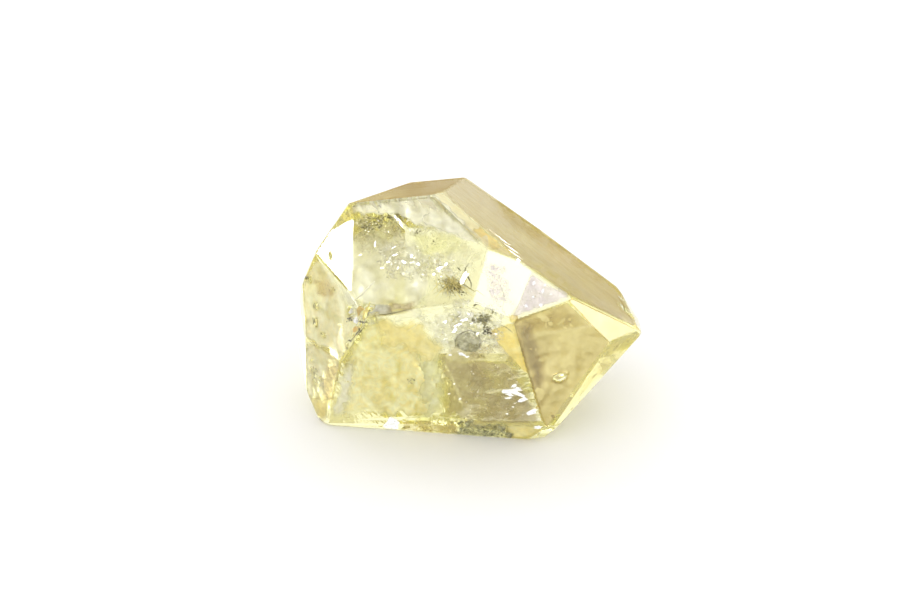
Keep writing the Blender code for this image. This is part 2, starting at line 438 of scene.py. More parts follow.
def veil(outline, depth, soft=6.0, ragged=5.0, lump=9.0, crumple=0.3, dip=0.0, away=None, seed=0, step=2.0):
    """A thin sheet that fills an outline given in pixels, `depth` mm behind the facet there, and
    `dip` mm deeper for each 10 pixels further down. Its attribute `fade` grows from 0 at a ragged
    rim to 1 in the middle, over `soft` pixels. `away` names two points between which it also fades
    away. `lump` is the size, in pixels, of the rim's tears, and `crumple` that of the folds, in mm."""
    columns, rows = [point[0] for point in outline], [point[1] for point in outline]
    middle = sight(sum(columns) / len(columns), sum(rows) / len(rows))
    facet_at, facet, _, _ = stone_tree.ray_cast(camera.location, middle)
    across = int((max(columns) - min(columns)) / step) + 2
    up = int((max(rows) - min(rows)) / step) + 2
    points, fades = [], []
    for j in range(up + 1):
        for i in range(across + 1):
            column, row = min(columns) - step + i * step, min(rows) - step + j * step
            ray = sight(column, row)
            entry = camera.location + ray * ((facet_at - camera.location).dot(facet) / ray.dot(facet))
            way = bend(ray, facet, 1 / CITRINE_IOR)
            noisy = Vector((column / lump, row / lump, seed))
            deep = depth + dip * (row - min(rows)) / 10 + noise.fractal(noisy * 0.7, 1.0, 2.0, 3) * crumple
            _, _, _, room = stone_tree.ray_cast(entry + way * 0.05 * MM, way)
            room = (room or 0) / MM - FAR_CLEARANCE
            points.append(entry + way * max(SHALLOWEST, min(deep, room)) * MM)
            fade = (inside_by(column, row, outline) + noise.fractal(noisy, 1.0, 2.0, 2) * ragged) / soft
            if away:
                (x1, y1), (x2, y2) = away
                run = (x2 - x1) ** 2 + (y2 - y1) ** 2
                gone = ((column - x1) * (x2 - x1) + (row - y1) * (y2 - y1)) / run
                fade = min(fade, 1.0) * (1 - max(0.0, min(1.0, gone + noise.noise(noisy) * 0.25)))
            fades.append(max(0.0, min(1.0, fade)) if room > 0.1 else 0.0)
    wide = across + 1
    faces = [(j * wide + i, (j + 1) * wide + i, (j + 1) * wide + i + 1, j * wide + i + 1)
             for j in range(up) for i in range(across)]
    faces = [face for face in faces if max(fades[corner] for corner in face) > 0]
    used = sorted({corner for face in faces for corner in face})
    place = {old: new for new, old in enumerate(used)}
    mesh = bpy.data.meshes.new("veil")
    renumbered = [[place[corner] for corner in face] for face in faces]
    mesh.from_pydata([points[old] for old in used], [], renumbered)
    fade = mesh.attributes.new("fade", "FLOAT", "POINT")
    fade.data.foreach_set("value", [fades[old] for old in used])
    mesh.shade_smooth()
    return mesh


# %% [markdown]
# ## Haze material
# A veil hides a part of what lies behind it and tints the rest, and it is denser in some places than
# in others. One shader mixes a clear surface with a solid one, and two noises drive it: one for the
# tone, one for the holes. A matt white sheet inside yellow stone comes out dull, so the bright veils
# are metallic and rough, and take their brightness from what they mirror.

# %% Haze material
def haze(name, light, dark, grain, cover, through="#FFFFFF", detail=4.0, swirl=0.0, stretch=(1, 1, 1),
         metallic=0.0, roughness=0.7, sharp=0.12):
    """A thin sheet of haze, light and dark by a noise whose lumps are `grain` mm wide. It hides
    between cover[0] and cover[1] of what is behind it, and tints the rest with the colour `through`.
    `stretch` draws the lumps out along an axis, and `swirl` winds them."""
    material, tree = new_material(name)
    place = add(tree, "ShaderNodeTexCoord").outputs["Object"]
    drawn = add(tree, "ShaderNodeMapping", {"Vector": place})
    drawn.inputs["Scale"].default_value = tuple(1 / length for length in stretch)
    lumps = add(tree, "ShaderNodeTexNoise", {"Vector": drawn}, Scale=1 / (grain * MM), Detail=detail,
                Roughness=0.6, Distortion=swirl)
    holes = add(tree, "ShaderNodeTexNoise", {"Vector": drawn}, Scale=0.6 / (grain * MM), Detail=detail + 1,
                Roughness=0.65, Distortion=swirl)
    tint = add(tree, "ShaderNodeValToRGB", {"Fac": lumps})
    tint.color_ramp.elements[0].position, tint.color_ramp.elements[0].color = 0.5 - sharp, linear(dark)
    tint.color_ramp.elements[1].position, tint.color_ramp.elements[1].color = 0.5 + sharp, linear(light)
    fade = add(tree, "ShaderNodeAttribute", settings={"attribute_name": "fade"}).outputs["Fac"]
    rim = add(tree, "ShaderNodeMapRange", {"Value": fade}, {"interpolation_type": "SMOOTHSTEP"})
    thick = add(tree, "ShaderNodeMapRange", {"Value": holes}, From_Min=0.5 - sharp, From_Max=0.5 + sharp)
    amount = add(tree, "ShaderNodeMapRange", {"Value": thick}, To_Min=cover[0], To_Max=cover[1])
    alpha = add(tree, "ShaderNodeMath", {0: rim, 1: amount}, {"operation": "MULTIPLY"})
    stain = add(tree, "ShaderNodeMapRange", {"Value": thick}, To_Min=0.45)
    stained = add(tree, "ShaderNodeMath", {0: rim, 1: stain}, {"operation": "MULTIPLY"})
    glass_tint = add(tree, "ShaderNodeMix", {"Factor": stained}, {"data_type": "RGBA"})
    glass_tint.inputs["A"].default_value = (1, 1, 1, 1)
    glass_tint.inputs["B"].default_value = linear(through)
    body = add(tree, "ShaderNodeBsdfPrincipled", {"Base Color": tint}, Roughness=roughness, Metallic=metallic)
    clear = add(tree, "ShaderNodeBsdfTransparent", {"Color": glass_tint.outputs["Result"]})
    mixed = add(tree, "ShaderNodeMixShader", {0: alpha, 1: clear, 2: body})
    add(tree, "ShaderNodeOutputMaterial", {"Surface": mixed})
    return material


def solid_material(name, colour, roughness=0.6, metallic=0.0, **more):
    """A plain opaque finish whose tone varies a little from grain to grain."""
    material, tree = new_material(name)
    place = add(tree, "ShaderNodeTexCoord").outputs["Object"]
    grains = add(tree, "ShaderNodeTexNoise", {"Vector": place}, Scale=1 / (0.3 * MM), Detail=2.0)
    tone = add(tree, "ShaderNodeMapRange", {"Value": grains}, From_Min=0.3, From_Max=0.7, To_Min=0.75,
               To_Max=1.2)
    tint = add(tree, "ShaderNodeVectorMath", {"Scale": tone}, {"operation": "SCALE"})
    tint.inputs[0].default_value = linear(colour)[:3]
    surface = add(tree, "ShaderNodeBsdfPrincipled", {"Base Color": tint}, Roughness=roughness,
                  Metallic=metallic, **more)
    add(tree, "ShaderNodeOutputMaterial", {"Surface": surface})
    return material


# %% [markdown]
# ## Flecks by geometry nodes
# Some cracks healed only in spots, and leave hundreds of small bright or dark flecks in one sheet.
# Placing them by hand would take days, and the export drops instances. Geometry nodes scatter them,
# and make them real: points are spread over a veil, more where its fade is strong, a small
# ball is put on each, stretched and turned at random, and all of it is made one real mesh. The
# inputs have names and the seed is fixed, so each patch can be tuned and comes out the same again.

# %% A tree with named inputs
def socket(tree, name, kind, value=None):
    """A named input of a geometry node tree."""
    made = tree.interface.new_socket(name, in_out="INPUT", socket_type=kind)
    if value is not None:
        made.default_value = value
    return made.identifier


fleck_tree = bpy.data.node_groups.new("flecks on a sheet", "GeometryNodeTree")
fleck_tree.interface.new_socket("Geometry", in_out="OUTPUT", socket_type="NodeSocketGeometry")
fleck_inputs = {
    "Sheet": socket(fleck_tree, "Sheet", "NodeSocketGeometry"),
    "Flecks per square mm": socket(fleck_tree, "Flecks per square mm", "NodeSocketFloat", 3.0),
    "Length": socket(fleck_tree, "Length", "NodeSocketFloat", 0.4),
    "Width": socket(fleck_tree, "Width", "NodeSocketFloat", 0.1),
    "Thickness": socket(fleck_tree, "Thickness", "NodeSocketFloat", 0.03),
    "Spin": socket(fleck_tree, "Spin", "NodeSocketFloat", 0.5),
    "Tilt": socket(fleck_tree, "Tilt", "NodeSocketFloat", 0.5),
    "Seed": socket(fleck_tree, "Seed", "NodeSocketInt", 1),
    "Material": socket(fleck_tree, "Material", "NodeSocketMaterial"),
}
print("fleck tree:", len(fleck_inputs), "inputs")

# %% How many flecks, and where
given = add(fleck_tree, "NodeGroupInput")
fade_read = add(fleck_tree, "GeometryNodeInputNamedAttribute", Name="fade")
per_metre = add(fleck_tree, "ShaderNodeMath", {0: given.outputs["Flecks per square mm"]},
                {"operation": "MULTIPLY"})
per_metre.inputs[1].default_value = 1 / MM ** 2
density = add(fleck_tree, "ShaderNodeMath", {0: per_metre, 1: fade_read.outputs["Attribute"]},
              {"operation": "MULTIPLY"})
spots = add(fleck_tree, "GeometryNodeDistributePointsOnFaces",
            {"Mesh": given.outputs["Sheet"], "Density": density, "Seed": given.outputs["Seed"]})
grain = add(fleck_tree, "GeometryNodeMeshIcoSphere", Radius=0.5 * MM, Subdivisions=1)

# %% How each fleck is turned and stretched
SMALLEST, LARGEST = 0.35, 1.3  # a fleck's size, as a share of the size asked for
least_turn = add(fleck_tree, "ShaderNodeCombineXYZ")
most_turn = add(fleck_tree, "ShaderNodeCombineXYZ")
for axis, name in ((0, "Tilt"), (1, "Tilt"), (2, "Spin")):
    minus = add(fleck_tree, "ShaderNodeMath", {0: given.outputs[name]}, {"operation": "MULTIPLY"})
    minus.inputs[1].default_value = -1.0
    fleck_tree.links.new(minus.outputs[0], least_turn.inputs[axis])
    fleck_tree.links.new(given.outputs[name], most_turn.inputs[axis])
jitter = add(fleck_tree, "FunctionNodeRandomValue",
             {0: least_turn, 1: most_turn, "Seed": given.outputs["Seed"]}, {"data_type": "FLOAT_VECTOR"})
turned = add(fleck_tree, "FunctionNodeRotateRotation",
             {"Rotation": spots.outputs["Rotation"], "Rotate By": jitter}, {"rotation_space": "LOCAL"})
size = add(fleck_tree, "ShaderNodeCombineXYZ",
           {"X": given.outputs["Length"], "Y": given.outputs["Width"], "Z": given.outputs["Thickness"]})
share = add(fleck_tree, "FunctionNodeRandomValue", {"Seed": given.outputs["Seed"]}, {"data_type": "FLOAT"})
share.inputs[2].default_value, share.inputs[3].default_value = SMALLEST, LARGEST
scaled = add(fleck_tree, "ShaderNodeVectorMath", {0: size, "Scale": share.outputs[1]}, {"operation": "SCALE"})
placed = add(fleck_tree, "GeometryNodeInstanceOnPoints",
             {"Points": spots, "Instance": grain, "Rotation": turned, "Scale": scaled})
whole = add(fleck_tree, "GeometryNodeRealizeInstances", {"Geometry": placed})
dressed = add(fleck_tree, "GeometryNodeSetMaterial",
              {"Geometry": whole, "Material": given.outputs["Material"]})
add(fleck_tree, "NodeGroupOutput", {"Geometry": dressed})
print("fleck tree:", len(fleck_tree.nodes), "nodes")


# %% Scattering flecks
def flecks(name, sheet, material, **values):
    """Scatters flecks over a patch, and gives them back as one plain mesh."""
    item = add_object(name, sheet)
    spread = item.modifiers.new("flecks", "NODES")
    spread.node_group = fleck_tree
    for key, value in values.items():
        spread[fleck_inputs[key.replace("_", " ")]] = value
    spread[fleck_inputs["Material"]] = material
    depsgraph = bpy.context.evaluated_depsgraph_get()
    made = bpy.data.meshes.new_from_object(item.evaluated_get(depsgraph))
    item.modifiers.remove(spread)
    item.data = made
    print(name + ":", len(made.polygons), "faces")
    return keep(item)


# %% [markdown]
# ## Lenses and threads
# What is too bold for a scatter is built singly. A flake is a closed, thin lens with a ragged rim,
# and a needle or a fine crack is a closed tube that tapers to both ends. A flat card with no
# thickness would be simpler, but light inside a stone comes from everywhere, and a closed shape
# looks right from all sides.

# %% Lenses and threads
def lens(shape, middle, normal, length, width, thickness, turn=0.0, ragged=0.25, seed=0, rim=9):
    """Adds a closed, thin, ragged lens to a bmesh: flat on to `normal`, `turn` radians from level."""
    draw = random.Random(seed)
    level = Vector((0, 0, 1)).cross(normal)
    level = (level if level.length > 0.01 else Vector((1, 0, 0))).normalized()
    along = Matrix.Rotation(turn, 3, normal) @ level
    across = normal.cross(along)
    ring = []
    for number in range(rim):
        angle = 2 * math.pi * number / rim
        reach = 1 + draw.uniform(-ragged, ragged)
        ring.append(shape.verts.new(middle + (along * math.cos(angle) * length
                                              + across * math.sin(angle) * width) * reach / 2 * MM))
    front = shape.verts.new(middle + normal * thickness / 2 * MM)
    back = shape.verts.new(middle - normal * thickness / 2 * MM)
    for number in range(rim):
        one, two = ring[number], ring[(number + 1) % rim]
        shape.faces.new((one, two, front))
        shape.faces.new((two, one, back))


def thread(shape, points, width, sides=6):
    """Adds a closed tube to a bmesh. It tapers to both ends, and runs through the points."""
    rings = []
    for number, point in enumerate(points):
        ahead = (points[min(number + 1, len(points) - 1)] - points[max(number - 1, 0)]).normalized()
        side = ahead.orthogonal().normalized()
        share = number / (len(points) - 1)
        radius = width / 2 * (0.25 + 0.75 * math.sin(math.pi * share)) * MM
        turns = [Matrix.Rotation(2 * math.pi * k / sides, 3, ahead) for k in range(sides)]
        rings.append([shape.verts.new(point + turn @ side * radius) for turn in turns])
    for one, two in zip(rings, rings[1:]):
        for k in range(sides):
            shape.faces.new((one[k], one[(k + 1) % sides], two[(k + 1) % sides], two[k]))
    shape.faces.new(rings[0][::-1])
    shape.faces.new(rings[-1])


def smooth_line(points, steps=6):
    """More points on a smooth line through the given ones (a Catmull-Rom spline)."""
    ends = [points[0] * 2 - points[1], *points, points[-1] * 2 - points[-2]]
    line = []
    for a, b, c, d in zip(ends, ends[1:], ends[2:], ends[3:]):
        for step in range(steps):
            t = step / steps
            line.append((b * 2 + (c - a) * t + (a * 2 - b * 5 + c * 4 - d) * t * t
                         + (b * 3 - a - c * 3 + d) * t ** 3) / 2)
    return [*line, points[-1]]


def finished(name, shape, material, smooth=False):
    """Turns a bmesh of small closed shapes into a piece."""
    bmesh.ops.recalc_face_normals(shape, faces=shape.faces)
    mesh = bpy.data.meshes.new(name)
    shape.to_mesh(mesh)
    shape.free()
    if smooth:
        mesh.shade_smooth()
    print(name + ":", len(mesh.polygons), "faces")
    return keep(add_object(name, mesh, material))


# %% [markdown]
# ## Laying the films
# The films are laid zone by zone, as a restorer would map a stone: for each there is its finish, its outline
# in the view, its depth, and how it fills the outline. A table holds what differs from one film to the next,
# and one function does what is the same for all. Most films are inclusions, but a few are painted light and
# shade: they stand in for what the real stone shows of its surroundings there.

# %% Laying the films
def lay_films(zone, films):
    """Makes each film of a table: its name, then its finish, outline, depth and shape."""
    for name, (finish, outline, depth, shape) in films.items():
        keep(add_object(name, veil(outline, depth, **shape), finish))
    print(zone + ":", len(films), "films")


# %% [markdown]
# ## The upper front face
# The large front face shows milk-white haze at its left, a frosted grey patch under its upper edge,
# and bright feathers across its middle. They could all be one textured sheet, but then they would
# slide over each other as one when the stone turns. Each is a sheet of its own, at its own depth.
# What is brightest is metallic, and tilted by `dip` so that it mirrors the pale room.

# %% The upper front face: finishes
milky = haze("milky healed crack", "#FFFFEE", "#FAF9DC", 2.6, (0.7, 0.95), swirl=0.5, metallic=1.0,
             roughness=0.5)
thin_milk = haze("thin milky film", "#FFFFF2", "#F4F3D6", 1.6, (0.05, 0.6), swirl=1.0)
frost = haze("frosted dark crack", "#F6F3DC", "#6C6A54", 0.26, (0.12, 0.55), through="#EAE8DA",
             detail=5.0, sharp=0.07)
grey_milk = haze("grey milky film", "#FDFCEC", "#F0EEDA", 1.8, (0.15, 0.45), through="#FDFCF6")
pale_top = haze("pale surface film", "#FFFEEC", "#FCFBE2", 1.0, (0.75, 0.98), detail=6.0, swirl=1.0,
                metallic=1.0, roughness=0.5)
green_milk = haze("green-yellow film", "#FFFFD0", "#F6F6B4", 1.6, (0.0, 0.25), through="#FDFDE4",
                  swirl=0.6)
silver = haze("silvery healed crack", "#FFFFFF", "#F6F4E4", 0.6, (0.0, 0.85), detail=6.0, swirl=2.5,
              metallic=1.0, roughness=0.35, sharp=0.07)

# %% The upper front face: films
lay_films("upper front face", {
    "milky_veil_front_left": (milky, [(338, 234), (408, 226), (440, 262),
                                      (436, 306), (366, 322), (334, 300)], 2.2,
                              dict(soft=20, ragged=9, lump=14, crumple=0.3, dip=0.12)),
    "pale_haze_front": (thin_milk, [(402, 205), (430, 203), (484, 252), (466, 300), (412, 306)], 4.0,
                        dict(soft=10, ragged=8, crumple=1.2, seed=3)),
    "pale_band_top": (pale_top, [(352, 202), (430, 196), (446, 206), (484, 246),
                                 (440, 232), (410, 224), (398, 214), (350, 216)], 1.0,
                      dict(soft=3, ragged=3, crumple=0.2, dip=0.12, seed=31)),
    "grey_trapezoid": (grey_milk, [(354, 212), (398, 211), (408, 236), (410, 270), (354, 280)], 2.2,
                       dict(soft=6, ragged=6, away=((376, 240), (378, 280)), seed=5)),
    "frosted_patch": (frost, [(355, 216), (397, 212), (402, 226), (408, 262), (354, 262)], 1.6,
                      dict(soft=3.5, ragged=5, lump=5, away=((372, 214), (380, 250)), seed=2, step=1.5)),
    "green_zone": (green_milk, [(410, 228), (462, 232), (470, 256), (416, 258)], 2.0,
                   dict(soft=9, seed=7)),
    "silver_feathers": (silver, [(374, 244), (424, 244), (455, 262), (450, 282), (384, 276)], 2.4,
                        dict(soft=9, ragged=14, lump=7, crumple=0.9, seed=9)),
    "silver_top": (silver, [(396, 212), (412, 206), (444, 226), (424, 236), (404, 232)], 2.4,
                   dict(soft=6, ragged=9, lump=6, crumple=0.7, seed=12)),
})

# %% [markdown]
# ## The grey band
# A short band, half bluish and half brown, lies under the lower edge of that face. On the real
# stone it may well be a piece of the far side, seen through the rounded edge. Such a glimpse can't
# be planned without knowing the whole stone, so two small matt films stand for it.

# %% The grey band: finishes
blue_grey = haze("bluish grey film", "#D6D7D2", "#ABAA9C", 0.9, (0.6, 0.9))
brown_grey = haze("brownish grey film", "#D8CCB2", "#A89B7C", 0.9, (0.15, 0.55), through="#E8DEC8")

# %% The grey band: films
lay_films("grey band", {
    "grey_band_blue": (blue_grey, [(367, 304), (392, 302), (392, 312), (368, 315)], 0.9,
                       dict(soft=3, ragged=2)),
    "grey_band_brown": (brown_grey, [(386, 303), (417, 300), (415, 309), (388, 312)], 0.8,
                        dict(soft=3, ragged=2)),
})

# %% [markdown]
# ## The lower front face
# This face is split down its middle: yellow and sunlit at the left, dark grey-brown at the right. The yellow
# half is a metallic sheet, tilted against its facet so that it mirrors pale surroundings, not the shaded
# floor, and glows. Its tones are two soft yellows, mixed by a swirling noise. The dark half is painted shade:
# there the face shows the dark surroundings behind the stone, and matt grey-brown films stand in for them.

# %% The lower front face: finishes
sunny = haze("yellow film", "#FFF6B8", "#FAEC9E", 1.5, (0.6, 0.92), through="#FDF2BC", metallic=1.0,
             roughness=0.4)
sunlit = haze("sunlit yellow crack", "#FFFFD4", "#FEF2AA", 1.6, (0.68, 0.96), through="#FFFDE8",
              detail=6.0, swirl=1.2, metallic=1.0, roughness=0.45)
pale_strip = haze("pale green film", "#FCFDDA", "#F0EFB8", 1.6, (0.5, 0.85), metallic=1.0,
                  roughness=0.45)
# painted shade: matt grey-brown, for the dark surroundings seen through the lower front face
painted_shade = haze("smoky film", "#E8DFB8", "#C9BD96", 2.2, (0.25, 0.55), through="#F2EBDC", swirl=0.4)
thin_dark_film = haze("thin smoky film", "#DCD2AC", "#B4A980", 1.4, (0.15, 0.5), through="#F0E9D8",
                  swirl=0.8)
deep_yellow = haze("deep yellow film", "#FFEE98", "#FAE27E", 1.5, (0.6, 0.92), through="#FDF0B0",
                   metallic=1.0, roughness=0.4)

# %% The lower front face: films
lay_films("lower front face", {
    "yellow_veil_top": (sunny, [(370, 315), (420, 320), (448, 348), (430, 362), (380, 346)], 3.0,
                        dict(soft=12, ragged=8, lump=14, dip=-0.50, seed=40)),
    "yellow_veil_left": (sunlit, [(346, 350), (368, 312), (424, 324),
                                  (444, 348), (438, 420), (336, 418)], 5.6,
                         dict(soft=12, crumple=0.3, dip=-0.50, seed=4)),
    "pale_strip": (pale_strip, [(412, 345), (443, 330), (450, 418), (418, 420)], 4.6,
                   dict(soft=12, dip=-0.50, seed=6)),
    "pale_left_strip": (pale_top, [(340, 364), (357, 356), (352, 417), (330, 417)], 3.3,
                        dict(soft=8, dip=-0.50, seed=8)),
    "smoky_zone": (painted_shade, [(437, 346), (462, 338), (490, 346), (482, 422), (442, 422)], 2.4,
                   dict(soft=13, ragged=7, crumple=0.5, seed=10)),
    # painted shade as well, in a thinner film
    "smoky_corner": (thin_dark_film, [(466, 346), (512, 338), (538, 424), (470, 424)], 2.4,
                     dict(soft=6, crumple=0.5, seed=11)),
    "smoky_low": (painted_shade, [(486, 394), (530, 388), (541, 424), (480, 422)], 2.6,
                  dict(soft=6, seed=33)),
    "yellow_triangle": (deep_yellow, [(486, 331), (514, 321), (529, 374), (523, 372)], 2.8,
                        dict(soft=2, ragged=1, crumple=0.1, dip=-0.42, seed=13)),
})

# %% [markdown]
# ## The middle and the bright face
# Silver feathers gather round the middle of the stone, where the front faces meet. To their right is the face
# that mirrors the soft box. In its corner, where the white ends, a lilac film is painted shade: the shadow on
# the table behind the stone's foot, seen through the face. The face also holds a faint rosy smudge.

# %% The middle and the bright face: finishes
# painted shade: the shadow on the table behind the stone's foot, seen through the face
lilac = haze("lilac film", "#F6F0F4", "#DDD4DC", 1.4, (0.35, 0.7), through="#F4EEF2")
rose = haze("rosy smudge", "#E0D6DA", "#A69A9E", 0.7, (0.0, 0.85), through="#CCC0C6", swirl=3.0,
            sharp=0.08)

# %% The middle and the bright face: films
lay_films("middle and bright face", {
    "middle_feathers": (thin_milk, [(410, 316), (470, 304), (512, 321), (508, 350), (440, 354)], 2.2,
                        dict(soft=7, crumple=1.0, seed=14)),
    "middle_silver": (silver, [(436, 316), (468, 306), (500, 320), (500, 352), (446, 350)], 2.0,
                      dict(soft=8, ragged=14, lump=6, crumple=0.8, seed=15)),
    "lilac_haze": (lilac, [(531, 273), (571, 297), (511, 318)], 1.2,
                   dict(soft=2, ragged=1.5, seed=16)),
    "pink_smudge": (rose, [(480, 262), (506, 262), (514, 306), (490, 308)], 1.6,
                    dict(soft=8, ragged=6, lump=7, seed=17)),
})

# %% [markdown]
# ## The point
# The faces of the point are the calmest: even tones with crisp edges. On the real stone they probably are the
# far faces, seen through the near ones, which can't be planned without knowing the far side. So each face
# gets a film cut to its own outline, close behind it. The bright cream of the small face is the table's
# reflection, mirrored by a metallic film close behind it. A brownish band down the left edge of the large
# face is painted shade, and so is the golden line along its lower edge, which its rounded edge shows.

# %% The point: finishes
ivory = haze("ivory film", "#FFFBD2", "#FFF5BE", 3.0, (0.88, 0.97), metallic=1.0, roughness=0.15)
# painted shade: the golden line that the rounded lower edge of the point shows
golden = haze("golden film", "#FFF8CC", "#FAEAAC", 1.5, (0.0, 0.2), through="#FEF6D4")
olive = haze("olive film", "#EBDE9C", "#D9CB89", 4.0, (0.78, 0.94), through="#E8DCA6", metallic=1.0,
             roughness=0.3)
# painted shade: the brownish band down the left edge of the large face
point_smoke = haze("brownish point film", "#D0C49C", "#B8AC86", 2.6, (0.3, 0.5), through="#F0E8D4",
                   detail=2.0, sharp=0.25)
olive_shade = haze("shaded olive film", "#F0E6B4", "#D8CA94", 2.4, (0.1, 0.35), through="#F4ECCC")

# %% The point: films
lay_films("point", {
    "cheek_cream": (ivory, [(572, 296), (638, 330), (609, 342), (567, 303)], 0.25,
                    dict(soft=1, ragged=0, crumple=0.02, seed=18, step=1.0)),
    "rim_gold": (golden, [(611, 343), (638, 332), (641, 336), (553, 425), (544, 425)], 0.7,
                 dict(soft=2, ragged=1, seed=19)),
    "point_olive": (olive, [(513, 320), (567, 302), (610, 342), (547, 428), (542, 424)], 0.5,
                    dict(soft=1.5, ragged=0, crumple=0.15, seed=20, step=1.5)),
    "point_smoke": (point_smoke, [(508, 321), (534, 315), (550, 372), (543, 424)], 0.4,
                    dict(soft=13, ragged=3, seed=21)),
    "point_top": (olive_shade, [(512, 320), (566, 302), (598, 330), (521, 338)], 0.4,
                  dict(soft=12, ragged=4, seed=37)),
    "point_foot": (brown_grey, [(543, 415), (562, 411), (545, 432)], 0.6,
                   dict(soft=3, ragged=2, seed=22)),
})

# %% [markdown]
# ## The left end
# The left end was ground round, and is sand-coloured with a few tan clouds. Matt films come out
# dull here, so the sand-coloured ones are metallic and pale, and only the clouds are matt.

# %% The left end: finishes
sand = haze("sand-coloured film", "#FFFFDE", "#FCF4C4", 1.5, (0.65, 0.93), through="#FFFDF0",
            detail=5.0, metallic=1.0, roughness=0.45)
tan = haze("tan film", "#F4E6BA", "#DFCB92", 1.2, (0.1, 0.5), through="#F4E8C6")

# %% The left end: films
lay_films("left end", {
    "left_foot": (sunny, [(306, 396), (332, 398), (330, 422), (314, 420)], 0.35,
                  dict(soft=6, seed=44)),
    "shoulder_top": (thin_dark_film, [(357, 202), (354, 220), (332, 230), (342, 213)], 0.5,
                     dict(soft=3, ragged=2, seed=46)),
    "left_sand": (sand, [(300, 280), (318, 256), (364, 312), (344, 358), (298, 336)], 0.9,
                  dict(soft=5, ragged=3, seed=23)),
    "left_sand_low": (sand, [(300, 336), (344, 358), (328, 420), (312, 420), (302, 390)], 0.8,
                      dict(soft=5, ragged=4, seed=24)),
    "tan_top": (tan, [(312, 278), (334, 280), (338, 296), (316, 298)], 0.7,
                dict(soft=7, ragged=5, seed=34)),
    "tan_low": (tan, [(324, 362), (340, 364), (334, 402), (320, 400)], 0.4,
                dict(soft=4, ragged=3, seed=35)),
})

# %% [markdown]
# ## The upper faces
# The two upper faces carry the growth lines. Just under them the same growth left pale and yellow streaks, so
# most of these films stretch their noise along one axis, as the lines of the skin do. The bright yellow line
# along the ridge is painted highlight: a yellow metallic film and a row of bright flakes stand in for the
# light of its rounded edge.

# %% The upper faces: finishes
ridge = haze("ridge film", "#FAF4CE", "#EBDFAC", 1.2, (0.4, 0.7), through="#F6EEC4", stretch=(8, 1, 1))
streaks = haze("streaked film", "#FFFFF6", "#F8F0D4", 0.9, (0.4, 0.6), through="#FEFCF0", detail=3.0,
               stretch=(25, 1, 1), sharp=0.25)
roof_shade = haze("beige film", "#FFF8E4", "#F6ECD2", 2.0, (0.0, 0.25), through="#FCF8EC", detail=2.0,
                  stretch=(20, 1, 1), sharp=0.25)
roof_gold = haze("thin yellow film", "#FFFABC", "#FAF0A4", 2.0, (0.1, 0.35), through="#FFFDD8",
                 stretch=(12, 1, 1))

# %% The upper faces: films
lay_films("upper faces", {
    "top_right_pale": (pale_top, [(430, 193), (449, 201), (490, 247),
                                  (466, 240), (440, 232), (420, 222)], 0.6,
                       dict(soft=4, crumple=0.2, dip=0.12, seed=38)),
    "ridge_film": (ridge, [(428, 196), (442, 191), (521, 262), (488, 250)], 0.4,
                   dict(soft=2, ragged=1, seed=36)),
    # painted highlight: the bright line of the rounded ridge
    "ridge_yellow": (deep_yellow, [(468, 228), (480, 224), (512, 250), (519, 262), (489, 250)], 0.3,
                     dict(soft=6, ragged=3, seed=41)),
    "top_streaks": (streaks, [(355, 203), (410, 181), (467, 177), (442, 192), (429, 198)], 0.5,
                    dict(soft=2, ragged=2, seed=45)),
    "roof_shade": (roof_shade, [(486, 190), (530, 218), (607, 278),
                                (604, 290), (560, 262), (500, 218)], 0.5,
                   dict(soft=8, ragged=5, seed=43)),
    "roof_gold": (roof_gold, [(519, 258), (545, 262), (600, 306), (637, 328), (572, 296)], 0.4,
                  dict(soft=8, ragged=3, seed=47)),
    "roof_streaks": (streaks, [(441, 191), (467, 178), (607, 280), (634, 306),
                               (637, 330), (572, 296), (520, 262)], 0.6,
                     dict(soft=3, ragged=2, seed=42)),
})

# %% [markdown]
# ## The foot
# A narrow face runs along the foot. It is sand-coloured in its middle, then dark and mossy, and
# golden at the end near the point. Each of the three tones has a film of its own.

# %% The foot: finishes
moss = haze("dark green-grey film", "#E8E6C0", "#5F6048", 0.6, (0.2, 0.9), through="#C4C4A0",
            detail=5.0, swirl=1.5, sharp=0.08)

# %% The foot: films
lay_films("foot", {
    "foot_dark": (moss, [(458, 420), (508, 424), (514, 441), (448, 440)], 0.4,
                  dict(soft=4, ragged=6, lump=6, seed=3, step=1.0)),
    "foot_gold": (sunny, [(506, 424), (540, 426), (540, 440), (504, 440)], 2.0,
                  dict(soft=2, ragged=1, crumple=0.1, dip=-0.80, seed=6, step=1.5)),
    "foot_sand": (tan, [(402, 419), (460, 423), (460, 438), (404, 436)], 0.4,
                  dict(soft=4, ragged=6, lump=8, seed=7)),
})

# %% [markdown]
# ## Flecks in sheets
# Now the scattering tool is put to work. Each patch is a veil that isn't kept: it only says where
# the flecks go. The dark ones stand for grains of rock, and the bright ones for flat hollows with a
# film of air, which flash when the stone turns.

